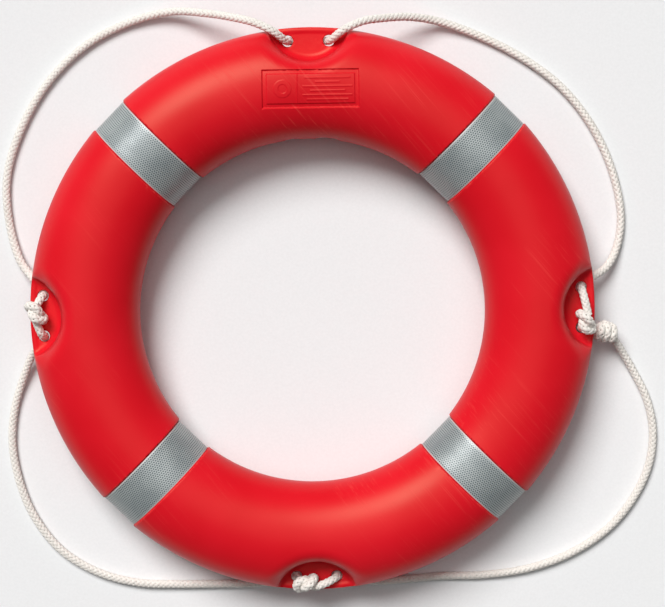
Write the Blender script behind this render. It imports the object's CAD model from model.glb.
"""A ring lifebuoy lying on its back: moulded shell, reflective tapes, plugs, and a knotted grab line.

Everything is in metres in the part's own frame: the origin is on the floor under the ring's
centre, +Z is up along the ring's axis, and the label panel is on the +Y side.
"""
import math

import bmesh
import bpy
import numpy as np
from mathutils import Matrix, Vector


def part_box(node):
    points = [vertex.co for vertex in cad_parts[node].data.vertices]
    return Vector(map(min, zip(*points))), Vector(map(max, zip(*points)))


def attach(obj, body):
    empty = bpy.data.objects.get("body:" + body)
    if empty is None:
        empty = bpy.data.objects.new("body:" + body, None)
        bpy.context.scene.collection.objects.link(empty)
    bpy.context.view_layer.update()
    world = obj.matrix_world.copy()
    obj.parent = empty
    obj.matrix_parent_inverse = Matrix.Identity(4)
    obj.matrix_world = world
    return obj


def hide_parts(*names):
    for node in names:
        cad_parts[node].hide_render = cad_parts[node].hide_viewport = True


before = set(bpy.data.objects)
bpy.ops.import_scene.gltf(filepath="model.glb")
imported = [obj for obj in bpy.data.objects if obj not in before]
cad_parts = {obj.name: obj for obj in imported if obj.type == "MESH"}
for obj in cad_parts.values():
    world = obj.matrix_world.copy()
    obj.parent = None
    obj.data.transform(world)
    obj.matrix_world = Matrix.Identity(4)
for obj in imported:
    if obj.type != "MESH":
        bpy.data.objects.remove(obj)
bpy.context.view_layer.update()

# ------------------------------------------------------------------ sizes

_, shell_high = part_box("shell")
OUTER_R = shell_high[0]
THICKNESS = shell_high[2]
INNER_R = 0.220
REST_FLAT = 0.0005
REST_EDGE = 0.0005
WALL = 0.0035
FOAM_GAP = 0.0002

# The steps of the lattices that the outside and the inside of the shell's wall are made on, how
# many triangles each keeps, and how far to each side of a vertex its normal is measured
SKIN_STEP, WALL_STEP = 0.002, 0.005
SKIN_TRIANGLES, WALL_TRIANGLES = 150000, 45000
NORMAL_STEP = 1e-4

# The ring's section is an ellipse, whose lowest point the rest face cuts off
RING_R = (OUTER_R + INNER_R) / 2
HALF_W = (OUTER_R - INNER_R) / 2
HALF_T = (THICKNESS + REST_FLAT) / 2
MID_Z = THICKNESS - HALF_T

# Rope pockets: a wall around an axis outside the ring, a fillet, and a web with a beaded edge.
# The rim's rounding is RIM_LEAST up to the first of RIM_HEIGHTS over the middle plane, and grows
# by RIM_MORE up to the second.
POCKET_POS = OUTER_R + 0.011
POCKET_R = 0.0535
POCKET_FILLET = 0.011
RIM_LEAST, RIM_MORE = 0.0008, 0.020
RIM_HEIGHTS = (0.006, 0.034)
WEB_T = 0.004
BEAD_D = 0.006
BEAD_IN = 0.0006
BEAD_R = OUTER_R - BEAD_D / 2 - BEAD_IN
BEAD_REACH = 0.001
BEAD_BLEND = 0.0025
HOLE_D = 0.014
HOLE_EDGE = 0.002
HOLE_POS = OUTER_R - 0.017
HOLE_SIDE = 0.026

# Tape grooves: a groove's floor is an ellipse swept straight across the diagonal of the ring
TAPE_W = 0.050
TAPE_T = 0.0005
GROOVE_W = TAPE_W + 0.002
GROOVE_OUT = 0.0030
GROOVE_IN = 0.0018
GROOVE_FACE = 0.0026
FLOOR_HALF_W = HALF_W - (GROOVE_OUT + GROOVE_IN) / 2
FLOOR_HALF_T = HALF_T - GROOVE_FACE
FLOOR_R = RING_R - (GROOVE_OUT - GROOVE_IN) / 2
GROOVE_EDGE = 0.0014
TAPE_ANGLES = (45, 135, 225, 315)
TAPE_LAP = 0.025

# Label panel, from its centre: x runs along the panel and y outwards. A channel surrounds a
# plate, which bears a divider, lines and a ring, the maker's mark.
PANEL_X, PANEL_Y = 0.002, RING_R - 0.007
PANEL_L, PANEL_W = 0.120, 0.047
CHANNEL_W, CHANNEL_DEPTH = 0.005, 0.0020
PLATE_DEPTH = 0.0009
MARK_DEPTH = 0.0005
CHANNEL_SOFT, MARK_SOFT = 0.0009, 0.0006
DIVIDER_X = -0.017
LINE_LENGTHS = (0.056, 0.030, 0.062, 0.044, 0.062, 0.052)
LINE_PITCH, LINE_WIDTH, LINE_X = 0.0054, 0.0020, 0.021
MARK_X, MARK_R = -0.035, 0.011

# The two plugs' CAD nodes, the gap around a plug's flange, how far that reaches past the stem,
# and the rounding of the recess that the plug is in
PLUGS = ("fill_plug", "vent_plug")
PLUG_SLACK = 0.0002
PLUG_FACE_R = INNER_R + 0.002
PLUG_L = 0.012
FLANGE_T = 0.0024
FLANGE_OVER = 0.004
SEAT_EDGE = 0.0008

# Rope: eight strands in a plain braid around a core. Every UNEVEN_EVERY points it is a little
# thicker or thinner. It is darker between its strands, which is up to the first STRAND_GAP from
# its centre, and plain from the second.
ROPE_D = 0.010
STRANDS_EACH_WAY = 4
BRAID_PITCH = 0.026
STRAND_R = 0.0039
STRAND_WAVE = 0.0005
STRAND_HALF_W = 0.00215
STRAND_HALF_T = 0.00115
STRAND_GAP = (0.0036, 0.0046)
STRAND_SIDES = 10
CORD_STEP = 0.0018
UNEVEN_EVERY, UNEVEN_BY = 30, 0.03

# The grab line's three stretches, knot to knot, as the rope lies on the floor around the ring
UPPER_ROUTE = [
    (-0.350, 0.015, 0.069), (-0.345, 0.024, 0.063), (-0.343, 0.027, 0.050), (-0.349, 0.035, 0.037),
    (-0.362, 0.048, 0.020), (-0.377, 0.068, 0.011), (-0.390, 0.114, 0.005), (-0.392, 0.174, 0.005),
    (-0.373, 0.235, 0.005), (-0.336, 0.296, 0.005), (-0.286, 0.343, 0.005), (-0.228, 0.372, 0.006),
    (-0.174, 0.384, 0.015), (-0.126, 0.380, 0.037), (-0.094, 0.374, 0.057), (-0.068, 0.367, 0.071),
    (-0.045, 0.356, 0.075), (-0.029, 0.344, 0.061), (-0.023, 0.343, 0.047), (0.000, 0.345, 0.036),
    (0.023, 0.343, 0.047), (0.029, 0.344, 0.061), (0.045, 0.356, 0.075), (0.068, 0.366, 0.071),
    (0.094, 0.370, 0.056), (0.128, 0.372, 0.034), (0.168, 0.366, 0.013), (0.218, 0.348, 0.005),
    (0.274, 0.319, 0.005), (0.325, 0.280, 0.005), (0.365, 0.228, 0.005), (0.391, 0.168, 0.005),
    (0.401, 0.110, 0.005), (0.394, 0.070, 0.008), (0.380, 0.048, 0.018), (0.354, 0.034, 0.037),
    (0.343, 0.027, 0.050), (0.343, 0.024, 0.062), (0.346, 0.010, 0.070), (0.350, -0.008, 0.071),
]
LOWER_RIGHT_ROUTE = [
    (0.345, -0.024, 0.066), (0.344, -0.027, 0.051), (0.356, -0.030, 0.039), (0.376, -0.034, 0.033),
    (0.390, -0.047, 0.023), (0.403, -0.066, 0.011), (0.418, -0.092, 0.005), (0.434, -0.126, 0.005),
    (0.442, -0.168, 0.005), (0.437, -0.212, 0.005), (0.417, -0.256, 0.005), (0.384, -0.296, 0.005),
    (0.336, -0.328, 0.005), (0.280, -0.348, 0.005), (0.220, -0.356, 0.005), (0.162, -0.357, 0.005),
    (0.112, -0.360, 0.008), (0.076, -0.360, 0.014), (0.044, -0.352, 0.029), (0.028, -0.343, 0.047),
    (0.025, -0.344, 0.061), (0.011, -0.350, 0.069), (-0.002, -0.354, 0.071),
]
LOWER_LEFT_ROUTE = [
    (-0.352, -0.004, 0.070), (-0.346, -0.021, 0.065), (-0.343, -0.027, 0.052), (-0.348, -0.036, 0.037),
    (-0.362, -0.051, 0.020), (-0.377, -0.084, 0.009), (-0.390, -0.124, 0.005), (-0.395, -0.168, 0.005),
    (-0.389, -0.214, 0.005), (-0.371, -0.265, 0.005), (-0.336, -0.313, 0.005), (-0.288, -0.344, 0.005),
    (-0.236, -0.359, 0.005), (-0.184, -0.362, 0.005), (-0.132, -0.362, 0.007), (-0.088, -0.361, 0.012),
    (-0.047, -0.354, 0.027), (-0.028, -0.343, 0.047), (-0.025, -0.345, 0.063),
]

# Knots: a knot's turns lie KNOT_ROPE_D apart, and its rope is KNOT_SWELL times as thick as the
# rest, so its turns press into each other. An overhand knot is used out to KNOT_TAIL from its
# middle, and set KNOT_DROP lower than the ends of the rope that it joins.
KNOT_ROPE_D = 0.0088
KNOT_SWELL = 1.10
KNOT_TAIL = 0.0085
KNOT_DROP = 0.004
KNOT_STEP = 0.0014

# The studio's own faint light, and how bright it looks behind the ring
STUDIO_LIGHT = 0.06
STUDIO_SHADE = 0.85


def plug_place(node):
    """A plug's face centre, the direction from it to the ring's middle, and its flange's radius."""
    low, high = (np.array(corner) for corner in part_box(node))
    middle = (low + high) / 2
    out = -np.array([middle[0], middle[1], 0]) / np.hypot(middle[0], middle[1])
    return -out * PLUG_FACE_R + (0, 0, middle[2]), out, (high - low)[2] / 2


# ------------------------------------------------------------------ camera

VIEW_TILT = math.radians(5.5)
VIEW_ROLL = math.radians(0.93)
VIEW_DISTANCE = 2.8
LENS = 118.7
FRAME_SHIFT = (0.030, 0.012)


def make_camera():
    """Looks down on the ring from a little towards +Y, square to the photograph's frame."""
    data = bpy.data.cameras.new("camera")
    camera = bpy.data.objects.new("camera", data)
    bpy.context.scene.collection.objects.link(camera)
    back = Vector((0, math.sin(VIEW_TILT), math.cos(VIEW_TILT)))
    right = Vector((1, 0, 0))
    up = back.cross(right)
    turn = Matrix((right, up, back)).transposed() @ Matrix.Rotation(-VIEW_ROLL, 3, "Z")
    camera.matrix_world = Matrix.Translation(Vector((0, 0, MID_Z)) + VIEW_DISTANCE * back) @ turn.to_4x4()
    data.lens = LENS
    data.shift_x, data.shift_y = FRAME_SHIFT
    data.clip_start, data.clip_end = 0.1, 20
    bpy.context.scene.camera = camera


# ------------------------------------------------------------------ materials


class Material:
    """One node material: add() makes a node from its settings and its inputs' values or links."""

    def __init__(self, name):
        self.made = bpy.data.materials.new(name)
        self.made.use_nodes = True
        self.tree = self.made.node_tree
        self.shader = self.tree.nodes["Principled BSDF"]

    def add(self, kind, inputs, **settings):
        node = self.tree.nodes.new("ShaderNode" + kind)
        for key, value in settings.items():
            setattr(node, key, value)
        self.fill(node, inputs)
        return node.outputs[0]

    def fill(self, node, inputs):
        for key, value in inputs.items():
            socket = node.inputs[key]
            if isinstance(value, bpy.types.NodeSocket):
                self.tree.links.new(value, socket)
            else:
                socket.default_value = value

    def maths(self, operation, *values):
        return self.add("Math", dict(enumerate(values)), operation=operation)

    def vector_maths(self, operation, *values):
        return self.add("VectorMath", dict(enumerate(values)), operation=operation)

    def place(self):
        """The point on the object, in metres."""
        node = self.tree.nodes.new("ShaderNodeTexCoord")
        return node.outputs["Object"]

    def uv(self):
        node = self.tree.nodes.new("ShaderNodeTexCoord")
        return node.outputs["UV"]

    def noise(self, vector, scale, detail=3.0, roughness=0.5):
        inputs = {"Vector": vector, "Scale": scale, "Detail": detail, "Roughness": roughness}
        return self.add("TexNoise", inputs)

    def steps(self, value, low, high, out_low=0.0, out_high=1.0):
        """A value taken from one range to another, and held at its ends."""
        inputs = {"Value": value, "From Min": low, "From Max": high, "To Min": out_low, "To Max": out_high}
        return self.add("MapRange", inputs)

    def mix(self, factor, first, second):
        """A colour between two others."""
        node = self.tree.nodes.new("ShaderNodeMix")
        node.data_type = "RGBA"
        sockets = [s for s in node.inputs if s.enabled]
        for socket, value in zip(sockets, (factor, first, second)):
            if isinstance(value, bpy.types.NodeSocket):
                self.tree.links.new(value, socket)
            else:
                socket.default_value = value if isinstance(value, float) else (*value, 1.0)
        return [s for s in node.outputs if s.enabled][0]

    def bump(self, height, distance, strength, under=None):
        inputs = {"Height": height, "Distance": distance, "Strength": strength}
        if under is not None:
            inputs["Normal"] = under
        return self.add("Bump", inputs)

    def finish(self, **inputs):
        """Sets the shader's sockets, whose names are given with _ for each space."""
        named = {key.replace("_", " "): value for key, value in inputs.items()}
        for key, value in named.items():
            if isinstance(value, tuple):
                named[key] = (*value, 1.0)
        self.fill(self.shader, named)
        return self.made


def rope_material():
    """Off-white polypropylene fibre: filaments along each strand, and grime between the strands."""
    m = Material("rope_fibre")
    fibres = m.noise(m.vector_maths("MULTIPLY", m.uv(), (120.0, 4200.0, 1.0)), 1.0, 2.0)
    patches = m.noise(m.place(), 28.0, 4.0, 0.6)
    clean = m.mix(m.steps(fibres, 0.3, 0.7), (0.68, 0.64, 0.585), (0.84, 0.80, 0.745))
    colour = m.mix(m.steps(patches, 0.52, 0.75, 0.0, 0.25), clean, (0.50, 0.44, 0.37))
    inner = m.add("Attribute", {}, attribute_name="inner")
    colour = m.mix(m.maths("MULTIPLY", inner, 0.8), colour, (0.22, 0.17, 0.13))
    height = m.bump(fibres, 0.00025, 0.8)
    rough = m.steps(fibres, 0.2, 0.8, 0.62, 0.85)
    return m.finish(Base_Color=colour, Roughness=rough, Normal=height, Sheen_Weight=0.15)


def shell_material():
    """Orange-red polyethylene: a faint orange-peel skin, brush marks across it, and worn edges."""
    m = Material("moulded_polyethylene")
    place = m.place()
    broad = m.noise(place, 9.0, 2.0)
    peel = m.noise(place, 420.0, 2.0)
    turned = m.add("VectorRotate", {"Vector": place, "Angle": math.radians(50)}, rotation_type="Z_AXIS")
    brushed = m.noise(m.vector_maths("MULTIPLY", turned, (7.0, 380.0, 60.0)), 1.0, 3.0, 0.6)
    scuff_zone = m.steps(m.noise(place, 6.0, 3.0), 0.5, 0.68)
    scuffs = m.maths("MULTIPLY", m.steps(brushed, 0.56, 0.72), scuff_zone)
    worn = m.add("Attribute", {}, attribute_name="edge")
    chips = m.maths("MULTIPLY", worn, m.steps(m.noise(place, 160.0, 4.0, 0.7), 0.45, 0.62))
    colour = m.mix(m.steps(broad, 0.35, 0.65), (0.61, 0.006, 0.014), (0.66, 0.008, 0.018))
    colour = m.mix(m.maths("MULTIPLY", scuffs, 0.40), colour, (0.78, 0.07, 0.06))
    colour = m.mix(m.maths("MULTIPLY", chips, 0.35), colour, (0.85, 0.12, 0.09))
    rough = m.maths("ADD", m.steps(broad, 0.3, 0.7, 0.34, 0.40), m.maths("MULTIPLY", scuffs, 0.18))
    rough = m.maths("ADD", rough, m.maths("MULTIPLY", chips, 0.15))
    normal = m.bump(peel, 0.00004, 0.6)
    normal = m.bump(brushed, 0.00003, 0.5, normal)
    return m.finish(Base_Color=colour, Roughness=rough, Normal=normal, IOR=1.5, Specular_IOR_Level=0.19,
                    Specular_Tint=(0.80, 0.92, 0.60))


def plug_material():
    """The shell's plastic as moulded in a small plug, a little darker."""
    m = Material("plug_polyethylene")
    place = m.place()
    grain = m.noise(place, 600.0, 3.0)
    patches = m.noise(place, 60.0, 3.0)
    colour = m.mix(m.steps(patches, 0.35, 0.65), (0.50, 0.004, 0.011), (0.57, 0.005, 0.014))
    rough = m.steps(grain, 0.3, 0.7, 0.38, 0.5)
    return m.finish(Base_Color=colour, Roughness=rough, Normal=m.bump(grain, 0.00005, 0.6), IOR=1.5,
                    Specular_IOR_Level=0.32)


def foam_material():
    """Pale closed-cell foam: small cells with darker gaps."""
    m = Material("closed_cell_foam")
    place = m.place()
    cells = m.add("TexVoronoi", {"Vector": place, "Scale": 700.0})
    colour = m.mix(m.steps(cells, 0.1, 0.7), (0.88, 0.79, 0.54), (0.70, 0.58, 0.34))
    rough = m.steps(m.noise(place, 90.0), 0.3, 0.7, 0.8, 0.95)
    return m.finish(Base_Color=colour, Roughness=rough, Normal=m.bump(cells, 0.0004, 0.7))


def hex_dots(m, u, v, pitch):
    """Distance from the nearest dot of a staggered pattern, in pitches. u and v are in metres."""
    nearest = None
    for shift in (0.0, 0.5):
        parts = []
        for value, size in ((u, pitch), (v, pitch * math.sqrt(3))):
            scaled = m.maths("ADD", m.maths("DIVIDE", value, size), shift)
            offset = m.maths("SUBTRACT", m.maths("FRACT", scaled), 0.5)
            parts.append(m.maths("MULTIPLY", offset, size / pitch))
        squares = [m.maths("MULTIPLY", part, part) for part in parts]
        distance = m.maths("SQRT", m.maths("ADD", *squares))
        nearest = distance if nearest is None else m.maths("MINIMUM", nearest, distance)
    return nearest


def tape_material():
    """Silver-grey reflective film with rows of small dark dots, and sealed paler edges."""
    m = Material("reflective_film")
    split = m.tree.nodes.new("ShaderNodeSeparateXYZ")
    m.tree.links.new(m.uv(), split.inputs[0])
    along, across = split.outputs[0], split.outputs[1]
    dot_pitch = 0.0031
    dots = m.steps(hex_dots(m, along, across, dot_pitch), 0.29, 0.37, 1.0, 0.0)
    to_edge = m.maths("MINIMUM", across, m.maths("SUBTRACT", TAPE_W, across))
    sealed = m.steps(to_edge, 0.0015, 0.0019, 1.0, 0.0)
    dots = m.maths("MULTIPLY", dots, m.maths("SUBTRACT", 1.0, sealed))
    smudges = m.noise(m.place(), 22.0, 4.0, 0.6)
    film = m.mix(m.steps(smudges, 0.35, 0.65), (0.32, 0.35, 0.35), (0.42, 0.45, 0.44))
    colour = m.mix(m.maths("MULTIPLY", dots, 0.9), film, (0.045, 0.07, 0.08))
    colour = m.mix(m.maths("MULTIPLY", sealed, 0.8), colour, (0.48, 0.48, 0.47))
    rough = m.maths("ADD", m.steps(smudges, 0.3, 0.7, 0.30, 0.40), m.maths("MULTIPLY", sealed, 0.2))
    creases = m.noise(m.place(), 45.0, 2.0)
    normal = m.bump(creases, 0.0006, 0.5)
    normal = m.bump(dots, 0.00012, 0.6, normal)
    return m.finish(Base_Color=colour, Roughness=rough, Normal=normal, Metallic=0.15, Coat_Weight=0.2,
                    Coat_Roughness=0.3)


def floor_material():
    """Plain pale paper."""
    m = Material("pale_paper")
    grain = m.noise(m.place(), 300.0, 3.0)
    colour = m.mix(m.steps(grain, 0.3, 0.7), (0.74, 0.74, 0.74), (0.77, 0.77, 0.77))
    return m.finish(Base_Color=colour, Roughness=0.9, Normal=m.bump(grain, 0.0001, 0.3))


# ------------------------------------------------------------------ meshes


def new_piece(name, vertices, faces, material, uv=None):
    """A mesh object. uv has one pair for each vertex."""
    mesh = bpy.data.meshes.new(name)
    mesh.from_pydata(np.asarray(vertices).tolist(), [], [list(map(int, f)) for f in faces])
    if uv is not None:
        layer = mesh.uv_layers.new(name="UVMap")
        corners = np.empty(len(mesh.loops), np.int32)
        mesh.loops.foreach_get("vertex_index", corners)
        layer.data.foreach_set("uv", np.asarray(uv, np.float32)[corners].ravel())
    mesh.polygons.foreach_set("use_smooth", [True] * len(mesh.polygons))
    mesh.materials.append(material)
    piece = bpy.data.objects.new(name, mesh)
    bpy.context.scene.collection.objects.link(piece)
    return piece


def unit(v):
    return v / np.linalg.norm(v, axis=-1, keepdims=True)


def smooth_step(value, low, high):
    """From 0 up to low to 1 from high, without a corner at either."""
    t = np.clip((value - low) / (high - low), 0, 1)
    return t * t * (3 - 2 * t)


def spline(points, step):
    """A smooth curve through the points, with a point every step."""
    points = np.asarray(points, float)
    between = 40
    ends = np.array([2 * points[0] - points[1], 2 * points[-1] - points[-2]])
    p = np.vstack([ends[:1], points, ends[1:]])
    knots = np.concatenate([[0], np.cumsum(np.sqrt(np.linalg.norm(np.diff(p, axis=0), axis=1)))])
    pieces = []
    for i in range(1, len(p) - 2):
        t0, t1, t2, t3 = knots[i - 1:i + 3]
        t = np.linspace(t1, t2, between, endpoint=False)[:, None]
        a1 = (t1 - t) / (t1 - t0) * p[i - 1] + (t - t0) / (t1 - t0) * p[i]
        a2 = (t2 - t) / (t2 - t1) * p[i] + (t - t1) / (t2 - t1) * p[i + 1]
        a3 = (t3 - t) / (t3 - t2) * p[i + 1] + (t - t2) / (t3 - t2) * p[i + 2]
        b1 = (t2 - t) / (t2 - t0) * a1 + (t - t0) / (t2 - t0) * a2
        b2 = (t3 - t) / (t3 - t1) * a2 + (t - t1) / (t3 - t1) * a3
        pieces.append((t2 - t) / (t2 - t1) * b1 + (t - t1) / (t2 - t1) * b2)
    return even(np.vstack(pieces + [points[-1:]]), step)


def travelled(line):
    """How far along a line each of its points is."""
    return np.concatenate([[0], np.cumsum(np.linalg.norm(np.diff(line, axis=0), axis=1))])


def even(line, step):
    """The same line with evenly spaced points, about a step apart."""
    along = travelled(line)
    wanted = np.linspace(0, along[-1], max(4, int(round(along[-1] / step)) + 1))
    return np.column_stack([np.interp(wanted, along, line[:, k]) for k in range(3)])


def moving_axes(line):
    """Two vectors across the line at each point, turned as little as possible on the way."""
    tangent = unit(np.gradient(line, axis=0))
    off_line = (0.3, 0.2, 0.9)
    side = np.empty_like(line)
    side[0] = unit(np.cross(tangent[0], off_line))
    for i in range(1, len(line)):
        side[i] = unit(side[i - 1] - tangent[i] * np.dot(side[i - 1], tangent[i]))
    return side, np.cross(tangent, side)


def tube(line, out, half_t, half_w):
    """A strand's skin: rings with one half axis along out and the other across, capped."""
    sides = STRAND_SIDES
    forward = unit(np.gradient(line, axis=0))
    out = unit(out - forward * np.sum(out * forward, axis=1, keepdims=True))
    across = np.cross(forward, out)
    angle = 2 * np.pi * np.arange(sides) / sides
    rings = (line[:, None]
             + half_t[:, None, None] * np.cos(angle)[None, :, None] * out[:, None]
             + half_w[:, None, None] * np.sin(angle)[None, :, None] * across[:, None])
    n = len(line)
    i, k = np.meshgrid(np.arange(n - 1), np.arange(sides), indexing="ij")
    here, there = i * sides, (i + 1) * sides
    walls = np.stack([here + k, there + k, there + (k + 1) % sides, here + (k + 1) % sides], -1)
    caps = [list(range(sides))[::-1], list(range((n - 1) * sides, n * sides))]
    around = 2 * half_w.mean() * np.abs((angle / np.pi) - 1)
    uv = np.stack(np.broadcast_arrays(travelled(line)[:, None], around[None, :]), -1)
    return rings.reshape(-1, 3), walls.reshape(-1, 4).tolist() + caps, uv.reshape(-1, 2)


def braid(line, size):
    """Strands wound both ways around a line, over and under each other, on a core.

    size is the rope's size at each point of the line, 1 for its full diameter. The last array
    returned says how far each vertex is from the line, as in rope of full size."""
    side, up = moving_axes(line)
    turn = 2 * np.pi * travelled(line) / BRAID_PITCH
    vertices, faces, uvs, depths = [], [], [], []

    def gather(part):
        start = sum(map(len, vertices))
        vertices.append(part[0])
        faces.extend([[c + start for c in f] for f in part[1]])
        uvs.append(part[2])
        off_line = part[0].reshape(len(line), -1, 3) - line[:, None]
        depths.append((np.linalg.norm(off_line, axis=2) / size[:, None]).ravel())

    for way in (1, -1):
        wave = STRAND_R + way * STRAND_WAVE * np.cos(STRANDS_EACH_WAY * turn)
        for k in range(STRANDS_EACH_WAY):
            angle = way * turn + 2 * np.pi * k / STRANDS_EACH_WAY
            out = np.cos(angle)[:, None] * side + np.sin(angle)[:, None] * up
            centre = line + out * (wave * size)[:, None]
            gather(tube(centre, out, STRAND_HALF_T * size, STRAND_HALF_W * size))
    core = (STRAND_R - STRAND_HALF_T) * size
    gather(tube(line, side, core, core))
    return np.vstack(vertices), faces, np.vstack(uvs), np.concatenate(depths)


# ------------------------------------------------------------------ grab line


def overhand_curve():
    """A tight overhand knot's centreline about the origin, with its ends on the X axis.

    It starts as the simplest open trefoil. Its ends are brought together and its rope is
    shortened, while points of different turns push each other a rope's width apart."""
    count, rounds, closing_rounds = 72, 2400, 1500
    reach, most_move = 0.022, 0.0005
    stiffness, push, smoothing = 0.25, 0.35, 0.12
    shrink, least_gap, own_turn = 0.9985, 0.9 * KNOT_ROPE_D, 1.7 * KNOT_ROPE_D
    t = np.linspace(-2.1, 2.1, count)
    trefoil = np.column_stack([t**5 - 10 * t, t**3 - 3 * t, 4 * t**2 - t**4])
    p = trefoil * (0.0045, 0.0075, 0.0060)
    p[:, 2] -= p[0, 2]
    p = even(p, travelled(p)[-1] / (count - 1))
    first, last = p[0].copy(), p[-1].copy()
    goal = np.array([-reach, 0, 0])
    rest = travelled(p)[-1] / (count - 1)
    order = np.arange(count)
    apart_along = np.abs(order[:, None] - order[None])
    for step in range(rounds):
        share = min(1.0, step / closing_rounds)
        p[0] = first + share * (goal - first)
        p[-1] = last + share * (-goal - last)
        for _ in range(4):
            gap = np.diff(p, axis=0)
            pull = stiffness * gap * (1 - rest / np.linalg.norm(gap, axis=1, keepdims=True))
            p[1:-1] += pull[1:] - pull[:-1]
        away = p[:, None] - p[None]
        distance = np.linalg.norm(away, axis=2) + 1e-9
        other_turn = apart_along * rest > own_turn
        overlap = np.where(other_turn & (distance < KNOT_ROPE_D), (KNOT_ROPE_D - distance) / distance, 0)
        moved = push * (away * overlap[:, :, None]).sum(axis=1)
        moved[1:-1] += smoothing * (p[:-2] + p[2:] - 2 * p[1:-1])
        size = np.linalg.norm(moved, axis=1, keepdims=True)
        moved *= np.minimum(1, most_move / np.maximum(size, 1e-12))
        p[1:-1] += moved[1:-1]
        if np.where(other_turn, distance, 1).min() > least_gap:
            rest *= shrink
    return p


def rope_piece(name, line, size, material):
    """Braided rope in place of a CAD node, marked where it lies between its strands."""
    vertices, faces, uv, depth = braid(line, size)
    rope = new_piece(name + "_rope", vertices, faces, material, uv)
    inner = rope.data.attributes.new("inner", "FLOAT", "POINT")
    inner.data.foreach_set("value", (1 - smooth_step(depth, *STRAND_GAP)).astype(np.float32))
    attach(rope, "root")
    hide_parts(name)
    return rope


def add_knot(name, line, material):
    """A knot's rope along its centreline, fatter inside than at its ends."""
    order = np.arange(len(line))
    from_end = np.minimum(order, order[::-1]) * travelled(line)[-1] / len(line)
    size = 1 + (KNOT_SWELL - 1) * smooth_step(from_end, 0.0, KNOT_ROPE_D)
    return rope_piece(name, line, size, material)


def make_overhand(name, start, end, curve, material):
    """A tight overhand knot between the ends of two stretches of rope, with its bulk upwards."""
    start, end = np.array(start), np.array(end)
    body = curve[np.abs(curve[:, 0]) < KNOT_TAIL] - (0, 0, KNOT_DROP)
    along = unit(end - start)
    side = unit(np.cross((0, 0, 1), along))
    placed = body @ np.array([along, side, np.cross(along, side)]) + (start + end) / 2
    line = spline(np.vstack([start, placed[::2], end]), KNOT_STEP)
    return add_knot(name, line, material)


def make_wrap(name, along, turns, material):
    """Rope wound around another stretch of rope and tucked under itself at both ends."""
    tuck_share, tuck_r, squeeze = 0.12, 0.0035, 0.001
    low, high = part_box(name)
    along = unit(np.array(along))
    side = unit(np.cross((0, 0, 1), along))
    up = np.cross(along, side)
    share = np.linspace(0, 1, 160)
    angle = 2 * np.pi * turns * share
    tuck = smooth_step(share, 0.0, tuck_share) * smooth_step(1 - share, 0.0, tuck_share)
    radius = tuck_r + tuck * ((ROPE_D + KNOT_ROPE_D) / 2 - squeeze - tuck_r)
    shift = (share - 0.5) * turns * KNOT_ROPE_D
    middle = (np.array(low) + np.array(high)) / 2
    off_line = np.cos(angle)[:, None] * side + np.sin(angle)[:, None] * up
    line = middle + shift[:, None] * along + radius[:, None] * off_line
    return add_knot(name, even(line, KNOT_STEP), material)


def make_cord(name, route, material):
    """A stretch of the grab line: the braid along its route, with its knots."""
    line = spline(route, CORD_STEP)
    line[:, 2] = np.maximum(line[:, 2], ROPE_D / 2)
    rng = np.random.default_rng(len(route))
    marks = np.arange(0, len(line) + UNEVEN_EVERY, UNEVEN_EVERY)
    sizes = rng.uniform(1 - UNEVEN_BY, 1 + UNEVEN_BY, len(marks))
    cord = rope_piece(name, line, np.interp(np.arange(len(line)), marks, sizes), material)


# ------------------------------------------------------------------ shell


def ellipse_gap(x, y, half_x, half_y):
    """Distance to an ellipse about the origin, below zero inside, and right to first order."""
    size = np.hypot(x / half_x, y / half_y)
    slope = np.hypot(x / half_x**2, y / half_y**2)
    return size * (size - 1) / np.maximum(slope, 1e-6)


def smooth_max(a, b, blend):
    """The larger of two distances, with the edge where they meet rounded over a blend."""
    return np.maximum(a, b) + np.maximum(blend - np.abs(a - b), 0) ** 2 / (4 * blend)


def pocket_gap(across, height):
    """Distance to the space of a rope pocket, from its axis and the ring's middle plane."""
    x = across - (POCKET_R - POCKET_FILLET)
    y = WEB_T / 2 + POCKET_FILLET - height
    return np.hypot(np.maximum(x, 0), np.maximum(y, 0)) + np.minimum(np.maximum(x, y), 0) - POCKET_FILLET


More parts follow.
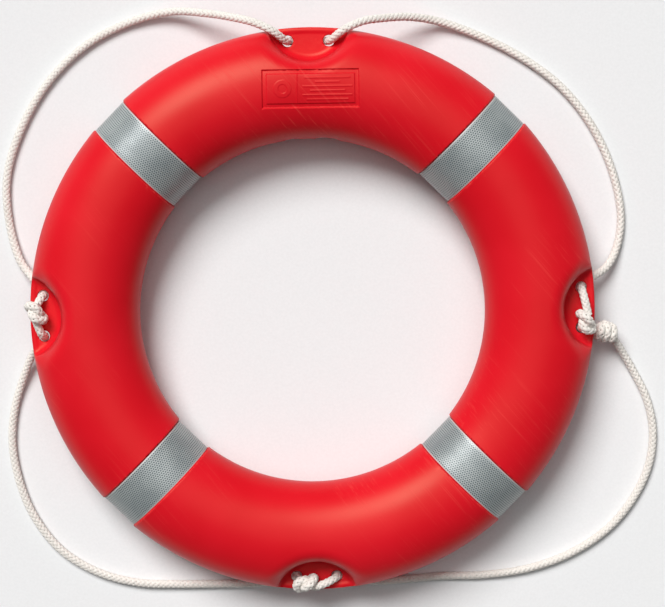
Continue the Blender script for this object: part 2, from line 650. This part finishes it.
def shell_gap(p):
    """Distance to the shell's outside at each point, below zero inside. The label is left out.

    The ring is the same in each eighth, so a point is first folded into the eighth that has
    half a rope pocket on the X axis and half a tape groove along the diagonal. A plug has a
    recess down to its face and a bore for its stem, but no room of its own for its flange."""
    x = np.maximum(np.abs(p[:, 0]), np.abs(p[:, 1]))
    y = np.minimum(np.abs(p[:, 0]), np.abs(p[:, 1]))
    level = p[:, 2] - MID_Z
    r = np.hypot(x, y)
    height = np.abs(level)
    across = np.hypot(x - POCKET_POS, y)
    rim = RIM_LEAST + RIM_MORE * smooth_step(height, *RIM_HEIGHTS)
    gap = smooth_max(ellipse_gap(r - RING_R, level, HALF_W, HALF_T), -pocket_gap(across, height), rim)
    bead = np.maximum(np.hypot(r - BEAD_R, level) - BEAD_D / 2, across - POCKET_R - BEAD_REACH)
    gap = -smooth_max(-gap, -bead, BEAD_BLEND)
    gap = smooth_max(gap, HOLE_D / 2 - np.hypot(x - HOLE_POS, y - HOLE_SIDE), HOLE_EDGE)
    along, side = (x + y) / math.sqrt(2), (x - y) / math.sqrt(2)
    floor = ellipse_gap(along - FLOOR_R, level, FLOOR_HALF_W, FLOOR_HALF_T)
    groove = smooth_max(side - GROOVE_W / 2, -floor, GROOVE_EDGE)
    gap = smooth_max(gap, -groove, GROOVE_EDGE)
    for node in PLUGS:
        centre, out, radius = plug_place(node)
        away = p - centre
        depth = away @ out
        seat = np.linalg.norm(away - depth[:, None] * out, axis=1) - radius - PLUG_SLACK
        seat = np.maximum(seat, depth - INNER_R)
        gap = smooth_max(gap, -np.maximum(seat, -depth), SEAT_EDGE)
        bore = np.maximum(seat + FLANGE_OVER, -depth - PLUG_L)
        gap = np.maximum(gap, -bore)
    return smooth_max(gap, -p[:, 2], REST_EDGE)


def label_depth(p):
    """How far the label's channel, plate and marks lie below the ring's surface."""
    x, y = p[:, 0] - PANEL_X, p[:, 1] - PANEL_Y
    edge = np.maximum(np.abs(x) - PANEL_L / 2, np.abs(y) - PANEL_W / 2)
    plate = np.maximum(np.abs(x) - PANEL_L / 2 + CHANNEL_W, np.abs(y) - PANEL_W / 2 + CHANNEL_W)
    marks = np.abs(x - DIVIDER_X) - LINE_WIDTH / 4
    for i, length in enumerate(LINE_LENGTHS):
        line_y = ((len(LINE_LENGTHS) - 1) / 2 - i) * LINE_PITCH
        line = np.maximum(np.abs(x - LINE_X) - length / 2, np.abs(y - line_y) - LINE_WIDTH / 2)
        marks = np.minimum(marks, line)
    ring = np.abs(np.hypot(x - MARK_X, y) - 0.75 * MARK_R) - MARK_R / 4
    marks = np.minimum(marks, ring)
    depth = CHANNEL_DEPTH * (1 - smooth_step(edge, -CHANNEL_SOFT, CHANNEL_SOFT))
    plate_top = MARK_DEPTH + (PLATE_DEPTH - MARK_DEPTH) * smooth_step(marks, -MARK_SOFT, MARK_SOFT)
    return depth + (plate_top - CHANNEL_DEPTH) * (1 - smooth_step(plate, -CHANNEL_SOFT, CHANNEL_SOFT))


def skin_gap(p):
    """Distance to the shell's outside with the label pressed into it."""
    return shell_gap(p) + np.where(p[:, 2] > MID_Z, label_depth(p), 0)


def wall_gap(p):
    """Distance to the inside of the shell's wall."""
    return shell_gap(p) + WALL


def slope(gap, points, step):
    """How fast a distance grows along each axis."""
    sides = np.eye(3) * step
    return np.stack([gap(points + s) - gap(points - s) for s in sides], axis=1) / (2 * step)


def gradient(gap, points, step=2e-5):
    """Which way a distance grows fastest, as a unit vector."""
    return unit(slope(gap, points, step))


def settle(gap, points, rounds):
    """Moves points to where a distance is nothing."""
    for _ in range(rounds):
        rise = slope(gap, points, 2e-5)
        points = points - rise * (gap(points) / np.sum(rise**2, axis=1))[:, None]
    return points


def lattice_field(gap, step):
    """A lattice's first corner, and the distance at its points, which is exact near the surface.

    Elsewhere it is the plain ring's. groove_reach is further than a groove and the wall under it
    go below the plain ring's surface."""
    groove_reach = 0.008
    wide, high = 2 * int((OUTER_R + 2 * step) / step), int((THICKNESS + 4 * step) / step)
    origin = np.array([-wide * step / 2, -wide * step / 2, -1.6 * step])
    axes = [origin[k] + step * np.arange(count) for k, count in enumerate((wide, wide, high))]
    x, y, z = np.meshgrid(*axes, indexing="ij")
    field = ellipse_gap(np.hypot(x, y) - RING_R, z - MID_Z, HALF_W, HALF_T)
    field = np.maximum(field, -z)
    fold_x, fold_y = np.maximum(abs(x), abs(y)), np.minimum(abs(x), abs(y))
    in_pocket = np.hypot(fold_x - POCKET_POS, fold_y) < POCKET_R + RIM_MORE
    in_groove = (fold_x - fold_y < 1.5 * GROOVE_W) & (field > -groove_reach)
    skin = np.abs(field) < 3 * step + WALL
    near = (field < 3 * step) & (skin | in_pocket | in_groove)
    field[near] = gap(np.stack([x[near], y[near], z[near]], axis=1))
    return origin, field


def cell_vertices(origin, field, step):
    """A vertex in each lattice cell that the surface crosses, and its number at each cell."""
    inside = field < 0
    corners = [(i, j, k) for i in (0, 1) for j in (0, 1) for k in (0, 1)]
    n = np.array(inside.shape) - 1
    views = [inside[i:i + n[0], j:j + n[1], k:k + n[2]] for i, j, k in corners]
    total = sum(v.astype(np.int8) for v in views)
    cells = np.argwhere((total > 0) & (total < 8))
    index = np.full(tuple(n), -1, np.int32)
    index[tuple(cells.T)] = np.arange(len(cells))
    sums, crossings = np.zeros((len(cells), 3)), np.zeros(len(cells))
    for a in corners:
        for axis in range(3):
            if a[axis] == 1:
                continue
            b = tuple(1 if k == axis else a[k] for k in range(3))
            fa = field[tuple((cells + a).T)]
            fb = field[tuple((cells + b).T)]
            cut = (fa < 0) != (fb < 0)
            share = np.where(cut, fa / np.where(cut, fa - fb, 1), 0)
            spot = cells + a + share[:, None] * (np.array(b) - a)
            sums += spot * cut[:, None]
            crossings += cut
    return origin + step * sums / crossings[:, None], index


def cell_faces(inside, index):
    """A four-sided face for each lattice edge that the surface crosses, from the cells around it."""
    quads = []
    for axis in range(3):
        u, v = (axis + 1) % 3, (axis + 2) % 3
        low = [slice(1, -1)] * 3
        low[axis] = slice(0, -1)
        high = list(low)
        high[axis] = slice(1, None)
        here, there = inside[tuple(low)], inside[tuple(high)]
        edges = np.argwhere(here != there) + [0 if k == axis else 1 for k in range(3)]
        out = inside[tuple(edges.T)]
        ring = []
        for du, dv in ((0, 0), (-1, 0), (-1, -1), (0, -1)):
            cell = edges.copy()
            cell[:, u] += du
            cell[:, v] += dv
            ring.append(index[tuple(cell.T)])
        ring = np.stack(ring, axis=1)
        ring[~out] = ring[~out][:, ::-1]
        quads.append(ring)
    return np.vstack(quads)


def lattice_surface(gap, step, rounds):
    """The surface where a distance is nothing, as even four-sided faces about a step across."""
    origin, field = lattice_field(gap, step)
    vertices, index = cell_vertices(origin, field, step)
    faces = cell_faces(field < 0, index)
    return relax(gap, settle(gap, vertices, 2), faces, rounds), faces


def relax(gap, vertices, faces, rounds):
    """Evens out the spacing of vertices along the surface, moving each towards its neighbours."""
    edges = np.vstack([faces[:, [k, (k + 1) % 4]] for k in range(4)])
    count = np.bincount(edges[:, 0], minlength=len(vertices))
    for _ in range(rounds):
        total = np.stack([np.bincount(edges[:, 0], vertices[edges[:, 1], k], len(vertices))
                          for k in range(3)], axis=1)
        vertices = settle(gap, 0.4 * vertices + 0.6 * total / count[:, None], 1)
    return vertices


def sharpness(points):
    """How sharply the shell bends outwards at each point, from 0 where it is plain to 1 at edges."""
    reach, plain, sharp = 0.002, 140, 420
    around = sum(shell_gap(points + way * side) for side in np.eye(3) * reach for way in (-1, 1))
    bend = (around - 6 * shell_gap(points)) / reach**2
    return smooth_step(bend, plain, sharp)


def points_of(mesh):
    points = np.empty(3 * len(mesh.vertices), np.float32)
    mesh.vertices.foreach_get("co", points)
    return points.reshape(-1, 3).astype(float)


def move_points(mesh, points):
    mesh.vertices.foreach_set("co", points.astype(np.float32).ravel())
    mesh.update()


def in_label(piece, margin):
    """Which of a piece's vertices are in the label panel or within a margin of it."""
    points = points_of(piece.data)
    wide = np.abs(points[:, 0] - PANEL_X) < PANEL_L / 2 + margin
    deep = np.abs(points[:, 1] - PANEL_Y) < PANEL_W / 2 + margin
    return wide & deep & (points[:, 2] > MID_Z)


def split_label(piece):
    """Splits the faces of the label panel finely."""
    inside = in_label(piece, margin=0.0025)
    work = bmesh.new()
    work.from_mesh(piece.data)
    edges = [e for e in work.edges if inside[e.verts[0].index] and inside[e.verts[1].index]]
    bmesh.ops.subdivide_edges(work, edges=edges, cuts=3, use_grid_fill=True)
    work.to_mesh(piece.data)
    work.free()


def thin_out(piece, most_triangles, kept=None):
    """Drops vertices where the surface is nearly flat, down to a number of triangles."""
    triangles = sum(len(p.vertices) - 2 for p in piece.data.polygons)
    thin = piece.modifiers.new("thin_out", "DECIMATE")
    thin.ratio = min(1.0, most_triangles / triangles)
    if kept is not None:
        piece.vertex_groups.new(name="thinned").add(np.flatnonzero(~kept).tolist(), 1.0, "REPLACE")
        thin.vertex_group = "thinned"
    bpy.context.view_layer.update()
    result = bpy.data.meshes.new_from_object(piece.evaluated_get(bpy.context.evaluated_depsgraph_get()))
    piece.modifiers.clear()
    piece.vertex_groups.clear()
    piece.data = result


def join_wall(outside, inside):
    """Puts the inside of the wall, turned over, into the outside's mesh."""
    flipped = bmesh.new()
    flipped.from_mesh(inside.data)
    bmesh.ops.reverse_faces(flipped, faces=flipped.faces)
    whole = bmesh.new()
    whole.from_mesh(outside.data)
    flipped.to_mesh(inside.data)
    whole.from_mesh(inside.data)
    whole.to_mesh(outside.data)
    flipped.free()
    whole.free()
    bpy.data.objects.remove(inside)


def outer_skin(material):
    """The shell's outside with its label, and the exact points of its vertices."""
    step = SKIN_STEP
    vertices, faces = lattice_surface(shell_gap, step, rounds=4)
    piece = new_piece("shell_skin", vertices, faces, material)
    split_label(piece)
    move_points(piece.data, settle(skin_gap, points_of(piece.data), 3))
    thin_out(piece, SKIN_TRIANGLES, kept=in_label(piece, margin=0.0015))
    points = settle(skin_gap, points_of(piece.data), 2)
    move_points(piece.data, points)
    return piece, points


def make_shell(wall_vertices, wall_faces, material):
    """The moulded shell's outside and the inside of its wall, in place of the CAD shell."""
    piece, points = outer_skin(material)
    inside = new_piece("shell_wall", wall_vertices, wall_faces, material)
    thin_out(inside, WALL_TRIANGLES)
    inner_points = points_of(inside.data)
    join_wall(piece, inside)
    piece.data.polygons.foreach_set("use_smooth", [True] * len(piece.data.polygons))
    normals = gradient(skin_gap, points, NORMAL_STEP)
    inner_normals = -gradient(wall_gap, inner_points, NORMAL_STEP)
    piece.data.normals_split_custom_set_from_vertices(np.vstack([normals, inner_normals]).tolist())
    worn = np.append(sharpness(points), np.zeros(len(inner_points)))
    edge = piece.data.attributes.new("edge", "FLOAT", "POINT")
    edge.data.foreach_set("value", worn.astype(np.float32))
    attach(piece, "root")
    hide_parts("shell")


def make_foam(wall_vertices, wall_faces, material):
    """The foam that fills the shell, just off the inside of its wall."""
    points = wall_vertices - gradient(wall_gap, wall_vertices) * FOAM_GAP
    foam = new_piece("foam_filling", points, wall_faces, material)
    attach(foam, "root")
    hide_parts("foam_core")


# ------------------------------------------------------------------ tapes and plugs


def swept_band(path, out, side, profile):
    """A closed profile of (across, outwards) pairs swept along a path, with flat ends."""
    rings = [path + across * side + up * out for across, up in profile]
    vertices = np.stack(rings, axis=1).reshape(-1, 3)
    n, sides = len(path), len(profile)
    walls = []
    for i in range(n - 1):
        here, there = i * sides, (i + 1) * sides
        for k in range(sides):
            after = (k + 1) % sides
            walls.append([here + k, here + after, there + after, there + k])
    return vertices, walls + [list(range(sides))[::-1], list(range((n - 1) * sides, n * sides))]


def tape_path():
    """Points along a tape around a groove's floor, the way out at each, and how far along it is."""
    off_floor, over_end, step_up = 0.00015, 1.15 * TAPE_T, 0.006
    angle = np.linspace(0, 2 * np.pi, 4001) + np.pi
    x, z = FLOOR_HALF_W * np.cos(angle), FLOOR_HALF_T * np.sin(angle)
    along = np.concatenate([[0], np.cumsum(np.hypot(np.diff(x), np.diff(z)))])
    around = along[-1]
    place = np.linspace(-TAPE_LAP / 2, around + TAPE_LAP / 2, 236)
    turn = np.interp(place % around, along, angle)
    flat = np.zeros_like(turn)
    out = unit(np.column_stack([np.cos(turn) / FLOOR_HALF_W, flat, np.sin(turn) / FLOOR_HALF_T]))
    lap_start = around - TAPE_LAP / 2
    lift = off_floor + over_end * smooth_step(place, lap_start - step_up, lap_start)
    x, z = FLOOR_R + FLOOR_HALF_W * np.cos(turn), MID_Z + FLOOR_HALF_T * np.sin(turn)
    return np.column_stack([x, flat, z]) + out * lift[:, None], out, place


def make_tape(index, material):
    """A reflective tape around the ring in its groove, its end lapped over its start."""
    path, out, place = tape_path()
    half, corner, thin, seal = TAPE_W / 2, 0.0003, 0.25, (0.0016, 0.0012)
    rows = np.linspace(-half + corner, half - corner, 18)
    top = [(y, TAPE_T * (1 - thin * smooth_step(abs(y), half - seal[0], half - seal[1]))) for y in rows]
    profile = [(-half, 0.0), (-half, TAPE_T / 2)] + top + [(half, TAPE_T / 2), (half, 0.0)]
    vertices, faces = swept_band(path, out, np.array([0.0, 1.0, 0.0]), profile)
    uv = np.array([(u + TAPE_LAP / 2, across + half) for u in place for across, _ in profile])
    a = math.radians(TAPE_ANGLES[index])
    turned = np.array([[math.cos(a), -math.sin(a), 0], [math.sin(a), math.cos(a), 0], [0, 0, 1]])
    name = f"reflective_tape_{index + 1}"
    tape = new_piece(name + "_band", vertices @ turned.T, faces, material, uv)
    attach(tape, "root")
    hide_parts(name)


def make_plug(node, material):
    """A press-in plug: a dished flange with a raised rim and a moulding nub, and its stem."""
    centre, out, radius = plug_place(node)
    stem = radius - FLANGE_OVER
    soft = 0.0006
    profile = [(0, 0.0002), (0.0010, 0.0002), (0.0014, -0.0004), (radius * 0.55, -0.0006),
               (radius * 0.62, -0.0006), (radius * 0.68, 0.0), (radius - 2 * soft, 0.0),
               (radius - soft, -0.0002), (radius, -soft), (radius, -FLANGE_T + soft),
               (radius - soft, -FLANGE_T), (stem, -FLANGE_T), (stem, -PLUG_L + soft),
               (stem - soft, -PLUG_L), (0, -PLUG_L)]
    side = np.array([0.0, 0.0, 1.0])
    across = np.cross(out, side)
    sides = 72
    vertices = [centre + out * profile[0][1]]
    for r, h in profile[1:-1]:
        for k in range(sides):
            a = 2 * math.pi * k / sides
            vertices.append(centre + out * h + r * (math.cos(a) * side + math.sin(a) * across))
    vertices.append(centre + out * profile[-1][1])
    rows, last = len(profile) - 2, len(vertices) - 1
    faces = [[0, 1 + (k + 1) % sides, 1 + k] for k in range(sides)]
    for i in range(rows - 1):
        for k in range(sides):
            here, there = 1 + i * sides, 1 + (i + 1) * sides
            faces.append([here + k, here + (k + 1) % sides, there + (k + 1) % sides, there + k])
    faces += [[last, last - sides + k, last - sides + (k + 1) % sides] for k in range(sides)]
    plug = new_piece(node + "_cap", vertices, faces, material)
    crisp = plug.modifiers.new("crisp", "EDGE_SPLIT")
    crisp.split_angle = math.radians(50)
    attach(plug, "root")
    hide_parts(node)


# ------------------------------------------------------------------ floor and light


def make_floor():
    """A wide floor just under the rope, whose strands reach a little below the part's rest face."""
    size, z = 12.0, -0.0008
    corners = [(-size, -size, z), (size, -size, z), (size, size, z), (-size, size, z)]
    floor = new_piece("floor", corners, [(0, 1, 2, 3)], floor_material())


def add_light(name, place, spread, strength):
    """Soft light from the direction of a place. spread is the angle that the lamp fills."""
    data = bpy.data.lights.new(name, "SUN")
    data.angle, data.energy = math.radians(spread), strength
    lamp = bpy.data.objects.new(name, data)
    lamp.location = place
    lamp.rotation_euler = Vector(place).to_track_quat("Z", "Y").to_euler()
    bpy.context.scene.collection.objects.link(lamp)


def make_light():
    """Soft studio light from above on the label's side, and a pale studio around it."""
    add_light("softbox", (-1.00, 2.05, 2.80), spread=28, strength=3.45)
    add_light("overhead", (0.00, 0.90, 3.60), spread=50, strength=0.70)
    world = bpy.data.worlds.new("studio")
    world.use_nodes = True
    tree = world.node_tree
    background = tree.nodes["Background"]
    background.inputs["Color"].default_value = (0.97, 0.98, 1.0, 1)
    rays = tree.nodes.new("ShaderNodeLightPath")
    strength = tree.nodes.new("ShaderNodeMapRange")
    strength.inputs["To Min"].default_value = STUDIO_LIGHT
    strength.inputs["To Max"].default_value = STUDIO_SHADE
    tree.links.new(rays.outputs["Is Camera Ray"], strength.inputs["Value"])
    tree.links.new(strength.outputs[0], background.inputs["Strength"])
    bpy.context.scene.world = world
    bpy.context.scene.view_settings.view_transform = "Standard"


# ------------------------------------------------------------------ the scene

make_camera()
rope = rope_material()
curve = overhand_curve()
left_knot = make_overhand("knot_left", UPPER_ROUTE[0], LOWER_LEFT_ROUTE[0], curve, rope)
right_front_knot = make_overhand("knot_right_front", UPPER_ROUTE[-1], LOWER_RIGHT_ROUTE[0], curve, rope)
right_back_knot = make_wrap("knot_right_back", (1.0, -0.4, -0.4), 2.6, rope)
bottom_knot = make_overhand("knot_bottom", LOWER_LEFT_ROUTE[-1], LOWER_RIGHT_ROUTE[-1], curve, rope)
make_cord("grab_line_upper", UPPER_ROUTE, rope)
make_cord("grab_line_lower_right", LOWER_RIGHT_ROUTE, rope)
make_cord("grab_line_lower_left", LOWER_LEFT_ROUTE, rope)

wall_vertices, wall_faces = lattice_surface(wall_gap, WALL_STEP, rounds=2)
make_shell(wall_vertices, wall_faces, shell_material())
make_foam(wall_vertices, wall_faces, foam_material())
film = tape_material()
for index in range(len(TAPE_ANGLES)):
    make_tape(index, film)
plug_plastic = plug_material()
for plug_node in PLUGS:
    make_plug(plug_node, plug_plastic)

make_floor()
make_light()
